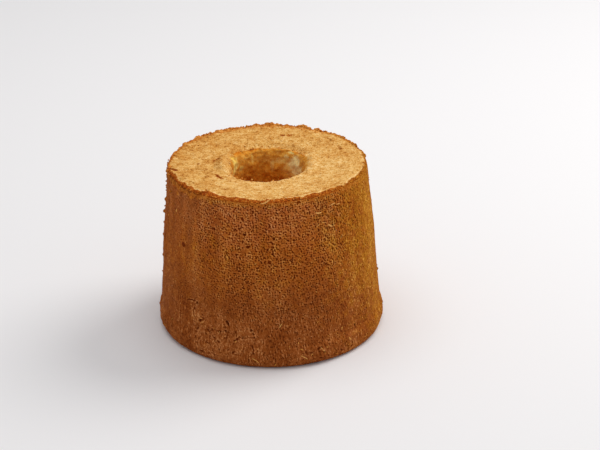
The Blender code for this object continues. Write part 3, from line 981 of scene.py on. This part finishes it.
def makeSponge():
    rng = np.random.default_rng(crumb["seed"])
    outline, topFirst, topLast, holeFirst, holeLast, hidden = spongeOutline()
    steps, rows = crumb["stepsRound"], len(outline)
    turns, x, z = startGrid(outline, steps)
    face, onFace = slice(topFirst, topLast), slice(topFirst + 1, topLast)
    inTube = slice(holeFirst + 1, holeLast)
    shuffle(rng, turns[:, topFirst + 1:holeLast], crumb["jitter"] * math.tau / steps)
    shuffle(rng, x[:, onFace], crumb["jitter"] * np.abs(np.diff(outline[face, 0])))
    z[:, onFace] = topHeight(x[:, onFace])
    shuffle(rng, z[:, inTube], crumb["jitter"] * crumb["holeSpacing"])
    x[:, inTube] = holeRadius(z[:, inTube])
    straight = turnedGrid(x, z, turns)
    places = crooked(straight)

    shown = slice(0, hidden)
    angle = (np.degrees(turns[:, shown]) + 180) % 360 - 180
    radius, level, points = x[:, shown], z[:, shown], straight[:, shown]
    lipRadius = tubeTop + baked["lipRound"][0]
    onTop = rise(cakeTop - 6 * mm, cakeTop - 3.5 * mm, level)
    far = rise(-0.15, 0.75, np.sin(np.radians(angle - 10)))
    near = 1 - far
    leftLip = around(angle, 176, 22, 48)
    lipEdge = lipRadius - (2.6 - 1.9 * far + 1.8 * leftLip) * mm + 1.5 * mm * lumps(points, 4 * mm, 3)
    inHole = fade(-1.0 * mm, 0.2 * mm, radius - lipEdge)
    tube = fade(lipRadius - 4.2 * mm, lipRadius + 0.3 * mm, radius)
    atLip = 1 - abs(rise(lipRadius - 6 * mm, lipRadius + 5 * mm, radius) * 2 - 1)
    onRim = rise(topRadius - 4.5 * mm, topRadius - 1 * mm, radius)
    fine = lumps(points, 1.2 * mm, 2, 0.9)
    coarse = lumps(points, 3.4 * mm, 3, 0.9)
    mottle = lumps(points, 10 * mm, 3, 0.8)
    shredded = lumps(points, 5 * mm, 3, 1.1)

    plane = points[..., :2] / mm
    uneven = 1 + 0.5 * fine
    marked = onTop * strongest(
        dark * fade(0.5, 1.4, np.linalg.norm(plane - onPlane(turn, out), axis=-1) / (size / 2) * uneven)
        for turn, out, size, dark in topMarks)
    splits = []
    for run, width, depth, dark in topCracks:
        ends = [onPlane(*end) for end in run]
        for start, end in zip(ends, ends[1:]):
            here = fade(0.4, 1.4, fromLine(plane - start, end - start) / (width / 2) * uneven) * onTop
            splits.append((dark * here, depth * here))
    split, deepest = [strongest(values) for values in zip(*splits)]
    stains = np.maximum(marked, split)
    bare = 0.12 * rise(0.30, 0.70, shredded) * inHole
    # painted shade: the hole's wall is coloured darker deeper down, where less light reaches
    holeShade = inHole * fade(cakeTop - 30 * mm, cakeTop - 9 * mm, level + 5 * mm * mottle)
    tornEdge = inHole * fade(0.5 * mm, 2.4 * mm, lipEdge - radius) * far
    milky = np.zeros(angle.shape)
    for patchAngle, patchZ, wide, tall, how, white in holePatches:
        across = np.radians(apart(angle, patchAngle)) * radius / mm
        share = np.hypot(across / (wide / 2), (level / mm - patchZ) / (tall / 2))
        here = how * fade(0.7, 1.15, share + 0.40 * shredded + 0.25 * fine)
        milky = np.where(here > bare, white, milky)
        bare = np.maximum(bare, here)
    pits = onTop * (1 - inHole) * pressPits(points, face, crumb["pitCount"], tubeTop + 4 * mm,
                                            topRadius - 2 * mm, crumb["pitRadius"])

    leftSide = around(angle, 170, 30, 80)
    farBand = far * rise(topRadius - 6.5 * mm, topRadius - 1.5 * mm, radius + 1.5 * mm * coarse)
    overRim = np.interp(angle, *zip(*crustOverRim)) + (0.75 + 1.2 * far + 0.5 * leftSide) * coarse
    skinEdge = topRadius - overRim * mm
    skin = rise(-0.5 * mm, 0.6 * mm, radius - skinEdge) * onTop
    ringPits = skin * near * pressPits(points, face, crumb["ringPitCount"], topRadius - 4.4 * mm,
                                       topRadius + 0.2 * mm, crumb["ringPitRadius"])
    outerTop = rise(topRadius - 16 * mm, topRadius - 5 * mm, radius)
    edging = (1 - abs(np.clip((radius - skinEdge) / mm + 0.9, -1, 1))) * near
    # painted light: the skin over the rim is coloured more golden on the right, where light falls
    goldenLitSide = around(angle, 2, 14, 72)
    roughLip = around(angle, 12, 14, 40) * fade(32 * mm, 38 * mm, radius)
    rings = lumps(turnedGrid(1, radius / (2.2 * mm), turns[:, shown]), 1, 2)
    rings *= around(angle, 6, 14, 34) * rise(48 * mm, 56 * mm, radius)
    push = onTop * (1 - tube) * (0.10 * fine + 0.16 * coarse)
    push += onRim * (0.10 * fine + (0.18 + 0.70 * far) * coarse)
    push += tube * (0.14 * fine + 1.05 * shredded) + atLip * (0.14 * fine + 0.60 * coarse)
    for lumpAngle, wide, tall in rimLumps:
        away = np.radians(apart(angle, lumpAngle)) * radius / (wide / 2 * mm) + 0.4 * fine + 0.2 * coarse
        push += tall * fade(0.55, 1.15, away) * rise(topRadius - 4 * mm, topRadius - 1.8 * mm, radius) * onTop
    onLip = fade(33 * mm, 39 * mm, radius) * rise(cakeTop - 18 * mm, cakeTop - 7 * mm, level)
    push += onLip * np.interp(angle, *zip(*lipShape))
    push -= crumb["pitDepth"] * (pits + ringPits) + 0.35 * marked + deepest
    settled = rise(cakeTop - 10 * mm, cakeTop - 7 * mm, level) + (radius < lipRadius + 2 * mm)
    push *= np.clip(settled, 0, 1) * rise(0.2 * mm, 6 * mm, level)
    pushOut(places, outline, turns, shown, push)
    wearRim(places, straight)
    places[..., 2] = np.maximum(places[..., 2], 0.1 * mm)

    seen = {
        # painted shade: the skin over the rim is coloured darker at the front, where the rim turns away from
        # the light, and the pits are coloured darker too; the marks, cracks and torn edge are the crumb's own
        # darker colour
        "darkMarksAndShade": np.maximum(stains, 0.3 * pits) - 0.5 * rings + 0.52 * skin * near * (1 - 0.5 * goldenLitSide)
        + 0.7 * ringPits + 0.42 * holeShade + 0.5 * tornEdge,
        "toast": 0.12 + 0.75 * mottle + 0.26 * far + 0.70 * farBand + 0.8 * (marked + split)
        + 0.22 * leftSide + 0.45 * pits + 0.4 * (onRim * np.maximum(0, coarse) + np.maximum(0, rings))
        + roughLip * (0.25 + 0.6 * coarse),
        # painted light: the front of the top and the near lip are coloured lighter, as light falls there; the
        # pale line along the skin's edge at the front is the crust's own
        "paleEdgeAndLitFront": 0.85 * edging + near * ((0.24 - 0.20 * outerTop) * (1 - leftSide) + 0.3 * atLip),
        "skin": np.maximum(skin * (1 - 0.30 * far), 0.9 * stains),
        "goldenTintAndLight": goldenLitSide,
        "milky": milky,
        "inside": inHole,
        "bare": bare,
    }
    attributes = {name: wholeGrid(np.clip(values, 0, 1), rows) for name, values in seen.items()}

    def mapPlaces(step, row):
        # the top lies flat in one corner; the hole's wall and the hidden sides are strips beside it
        turn = step / steps * math.tau
        place = np.interp(row, [0, topFirst, holeFirst], [1.06, 1.0, 0.40]) * 0.47
        flat = 0.80 * np.stack([0.5 + place * np.cos(turn), 0.5 + place * np.sin(turn)], 1)
        across = 0.003 + 0.994 * step / steps
        tube = np.stack([across, np.interp(row, [holeFirst, holeLast, hidden], [0.805, 0.95, 0.97])], 1)
        rest = np.stack([across, np.interp(row, [hidden, rows + 1], [0.972, 0.997])], 1)
        return np.where((row < holeFirst)[:, None], flat, np.where((row < hidden)[:, None], tube, rest))

    bm = spinPart(outline, steps, 0, steps, 20)
    mesh = placeGrid(bm, "spongeCrumb", outline, places, attributes, mapPlaces)
    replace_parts(finishPiece(mesh, topMaterial), "chiffon_cake")


makeSponge()


# Loose crumbs, mostly along the rim and the lip of the hole

crumbs = {
    "onRim": 170,
    "onFarRim": 130,
    "onLeftEdge": 46,
    "onLip": 70,
    "onTop": 40,
    "onWall": 420,
    "seed": 37,
}

# Crumbs that stand out on the wall: degrees round, height, size in mm
wallCrumbs = [
    (-175.9, 97.2, 1.6), (-177, 87, 2), (-10, 9, 1.6), (-178, 38, 1.2), (-176, 112, 1.6), (-174, 106, 1.2),
    (-4, 44, 1.2), (70, 108, 1.4),
]


def finishBits(bm, name, material):
    bmesh.ops.recalc_face_normals(bm, faces=bm.faces)
    for face in bm.faces:
        face.smooth = True
    finishPiece(meshFrom(bm, name), material)


def makeLooseCrumbs():
    rng = random.Random(crumbs["seed"])
    bm = bmesh.new()
    tint = bm.verts.layers.float.new("tint")
    rimRadius = wallRadius(cakeTop)

    def addCrumb(place, size, shade):
        turn = rng.uniform(0, math.tau)
        turn = Matrix.Rotation(turn, 4, Vector((rng.uniform(-1, 1), rng.uniform(-1, 1), 0.5)))
        flatten = Matrix.Diagonal((1, rng.uniform(0.6, 1), rng.uniform(0.5, 0.9), 1))
        made = bmesh.ops.create_icosphere(bm, subdivisions=2 if size > 1.3 * mm else 1, radius=size / 2,
                                          matrix=Matrix.Translation(place) @ turn @ flatten)["verts"]
        for vert in made:
            vert.co = place + (vert.co - place) * (1 + 0.6 * noise.noise(vert.co / (0.55 * mm)))
            vert[tint] = shade

    def onTopAt(angle, radius, lift):
        return placeAt(angle, radius, topHeight(radius)) + Vector((0, 0, lift))

    def onWallAt(angle, z, out):
        return placeAt(angle, wallRadius(z) + out, z)

    for i in range(crumbs["onRim"] + crumbs["onFarRim"]):
        anywhere = i < crumbs["onRim"]
        angle = rng.uniform(-180, 180) if anywhere else rng.gauss(90, 36)
        radius = rimRadius - rng.uniform(0.9, 2.9) * mm
        size = (rng.uniform(0.6, 1.6) if anywhere else rng.uniform(1.2, 3.0)) * mm
        lift = rng.uniform(-0.35, 0.15) * mm - 0.2 * size
        addCrumb(onTopAt(angle, radius, lift), size, rng.uniform(0, 0.8))
    for _ in range(crumbs["onLeftEdge"]):
        z = cakeTop - abs(rng.gauss(0, 14)) * mm
        addCrumb(onWallAt(rng.gauss(-176, 9), z, 0.1 * mm), rng.uniform(0.8, 2.0) * mm, rng.uniform(0, 0.45))
    for _ in range(crumbs["onLip"]):
        radius = tubeTop + rng.uniform(1.0, 5.5) * mm
        place = onTopAt(rng.uniform(-180, 180), radius, rng.uniform(-0.9, 0.1) * mm)
        addCrumb(place, rng.uniform(0.6, 1.6) * mm, rng.uniform(0.4, 1))
    for _ in range(crumbs["onTop"]):
        radius = rng.uniform(tubeTop + 7 * mm, rimRadius - 4 * mm)
        addCrumb(onTopAt(rng.uniform(-180, 180), radius, 0.1 * mm), rng.uniform(0.5, 1.0) * mm, rng.random())
    for _ in range(crumbs["onWall"]):
        z = rng.uniform(4 * mm, cakeTop - 4 * mm)
        angle = rng.choice((rng.uniform(-180, 180), rng.gauss(-42, 22), rng.gauss(130, 30)))
        addCrumb(onWallAt(angle, z, 0.1 * mm), rng.uniform(0.5, 1.0) * mm, rng.uniform(0.2, 1.0))
    for angle, z, size in wallCrumbs:
        addCrumb(onWallAt(angle, z * mm, 0.25 * mm), size * mm, 0.1)
    finishBits(bm, "looseCrumbs", crumbMaterial)


makeLooseCrumbs()


# Shreds: thin curls and flakes of skin lifted by the knife

shreds = {
    "count": 110,
    "thick": 0.25 * mm,
    "seed": 51,
}

# Placed ones: degrees round, height, length, width, turn from level in degrees, lift, how pale
placedShreds = [
    (-90, 124.6, 7.6, 1.5, 26, 1.6, 1.1), (-73, 8, 6.3, 0.68, -35, 0.6, 0.9),
    (-63, 11, 5.4, 0.68, -50, 0.6, 0.9), (-97, 7, 5.85, 0.77, -38, 0.6, 0.8),
    (-84, 33, 4.05, 0.59, 60, 0.5, 0.9), (-60.2, 112.1, 5.04, 1.44, -14, 1.2, 1),
    (-50.8, 115.6, 4.5, 1.1, 12, 1, 1), (-46.6, 114.2, 3.06, 0.94, -10, 0.8, 0.9),
    (-53.4, 100.6, 4.14, 1.19, -48, 1.2, 1.1), (-51.2, 100.4, 3.24, 1.1, 52, 1.1, 1.1),
    (-61, 103, 3.24, 0.77, 40, 0.8, 0.9), (-57.4, 104.4, 3.06, 0.68, -12, 0.7, 0.8),
    (-45.6, 90, 2.7, 0.85, 75, 0.7, 0.9), (-150, 103, 3.24, 0.68, 85, 0.5, 0.8),
    (-46, 12, 3.42, 0.85, -60, 0.7, 0.8), (-74, 14, 2.88, 0.77, -40, 0.6, 0.7),
]


def makeShreds():
    rng = random.Random(shreds["seed"])
    bm = bmesh.new()
    tint = bm.verts.layers.float.new("tint")
    chosen = list(placedShreds)
    for _ in range(shreds["count"]):
        z = rng.choice((rng.uniform(85, 120), rng.uniform(4, 120), rng.uniform(3, 22)))
        angle = rng.choice((rng.uniform(-180, 180), rng.gauss(-45, 18), rng.gauss(120, 30)))
        steep = rng.choice((rng.uniform(50, 100), rng.uniform(-90, 90)))
        length, width = rng.uniform(1.2, 2.8), rng.uniform(0.35, 0.7)
        chosen.append((angle, z, length, width, steep, rng.uniform(0.15, 0.45), rng.uniform(0.45, 0.8)))
    for angle, z, length, width, turn, lift, pale in chosen:
        strip = bmesh.ops.create_grid(bm, x_segments=6, y_segments=2, size=0.5)["verts"]
        middle, outer = [placeAt(angle, wallRadius(z * mm) + out, z * mm) for out in (0, 1 * mm)]
        outward = (outer - middle).normalized()
        side = Vector((0, 0, 1)).cross(outward).normalized()
        upward = outward.cross(side)
        c, s = math.cos(math.radians(turn)), math.sin(math.radians(turn))
        for vert in strip:
            along, across = vert.co.x * 2, vert.co.y * 2
            x = along * length / 2
            y = across * (1 - 0.75 * along * along) * width / 2 + 0.2 * width * math.sin(along * 3 + z)
            out = 0.05 + lift * (1 - along * along) * (0.5 + 0.5 * across)
            vert.co = middle + (side * (x * c - y * s) + upward * (x * s + y * c) + outward * out) * mm
            vert[tint] = pale
    bmesh.ops.recalc_face_normals(bm, faces=bm.faces)
    bmesh.ops.solidify(bm, geom=bm.faces[:], thickness=shreds["thick"])
    finishBits(bm, "crustShreds", shredMaterial)


makeShreds()


# Floor, light and camera

stage = {
    "floorTint": (0.84, 0.83, 0.84, 1),
    "roomTint": (0.97, 0.98, 1.0, 1),
    "roomStrength": 0.46,
    "lights": [  # name, place, size, power, tint
        ("windowLight", (1.0, 0.55, 1.25), 1.1, 15, (1.0, 0.98, 0.95)),
        ("ceilingLight", (-0.2, 0.0, 1.8), 1.6, 10, (1.0, 0.99, 0.97)),
    ],
    "lens": 108.9,
    "cameraPlace": (0.0211, -1.1980, 0.6353),
    "cameraTilt": 64.89,
}


def standAt(name, data, place, turned):
    made = bpy.data.objects.new(name, data)
    made.location = place
    made.rotation_euler = turned
    bpy.context.scene.collection.objects.link(made)
    return made


def makeStage():
    bpy.ops.mesh.primitive_plane_add(size=12)
    floor = bpy.context.object
    floor.name = "floor"
    material, tree, shader = newMaterial("paleFloor", 0.6)
    shader.inputs["Base Color"].default_value = stage["floorTint"]
    floor.data.materials.append(material)

    scene = bpy.context.scene
    scene.world = bpy.data.worlds.new("softRoom")
    scene.world.use_nodes = True
    background = scene.world.node_tree.nodes["Background"]
    background.inputs["Color"].default_value = stage["roomTint"]
    background.inputs["Strength"].default_value = stage["roomStrength"]
    for name, place, size, power, tint in stage["lights"]:
        data = bpy.data.lights.new(name, "AREA")
        data.shape, data.size, data.energy, data.color = "DISK", size, power, tint
        standAt(name, data, place, (Vector((0, 0, 0.06)) - Vector(place)).to_track_quat("-Z", "Y").to_euler())

    data = bpy.data.cameras.new("camera")
    data.lens, data.sensor_width = stage["lens"], 36
    scene.camera = standAt("camera", data, stage["cameraPlace"], (math.radians(stage["cameraTilt"]), 0, 0))
    scene.view_settings.view_transform = "Standard"


makeStage()
print("stage, light and camera set")
